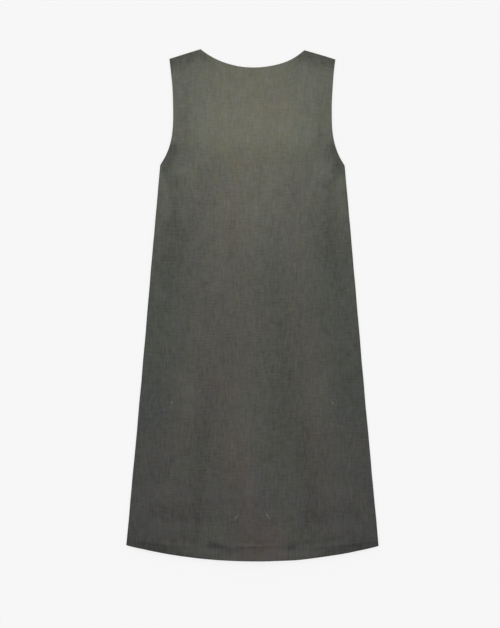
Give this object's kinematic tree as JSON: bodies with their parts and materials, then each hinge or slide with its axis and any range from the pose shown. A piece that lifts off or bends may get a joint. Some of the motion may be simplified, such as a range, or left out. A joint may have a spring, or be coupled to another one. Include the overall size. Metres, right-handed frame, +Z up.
{
  "type": "shift dress laid flat",
  "caption": "Sleeveless A-line shift dress in plain linen, laid flat with its back up, with a shallow round neckline, scooped armholes and a curved turned-up hem.",
  "frame": {"origin": "on the surface the dress lies on, under the middle of its outline box", "axes": "+X to the right in the picture, +Y from hem to neck along the dress, +Z up from the surface it lies on; the back faces +Z"},
  "size_m": [0.547, 1.1101, 0.0124],
  "materials": {
    "linen_back": "matt plain-woven linen, olive grey, slightly slubbed",
    "linen_front": "the same linen on the hidden side, matt and slightly slubbed"
  },
  "bodies": {
    "root": {"back_panel": "linen_back", "front_panel": "linen_front", "back_hem": "linen_back", "front_hem": "linen_front"}
  },
  "joints": []
}
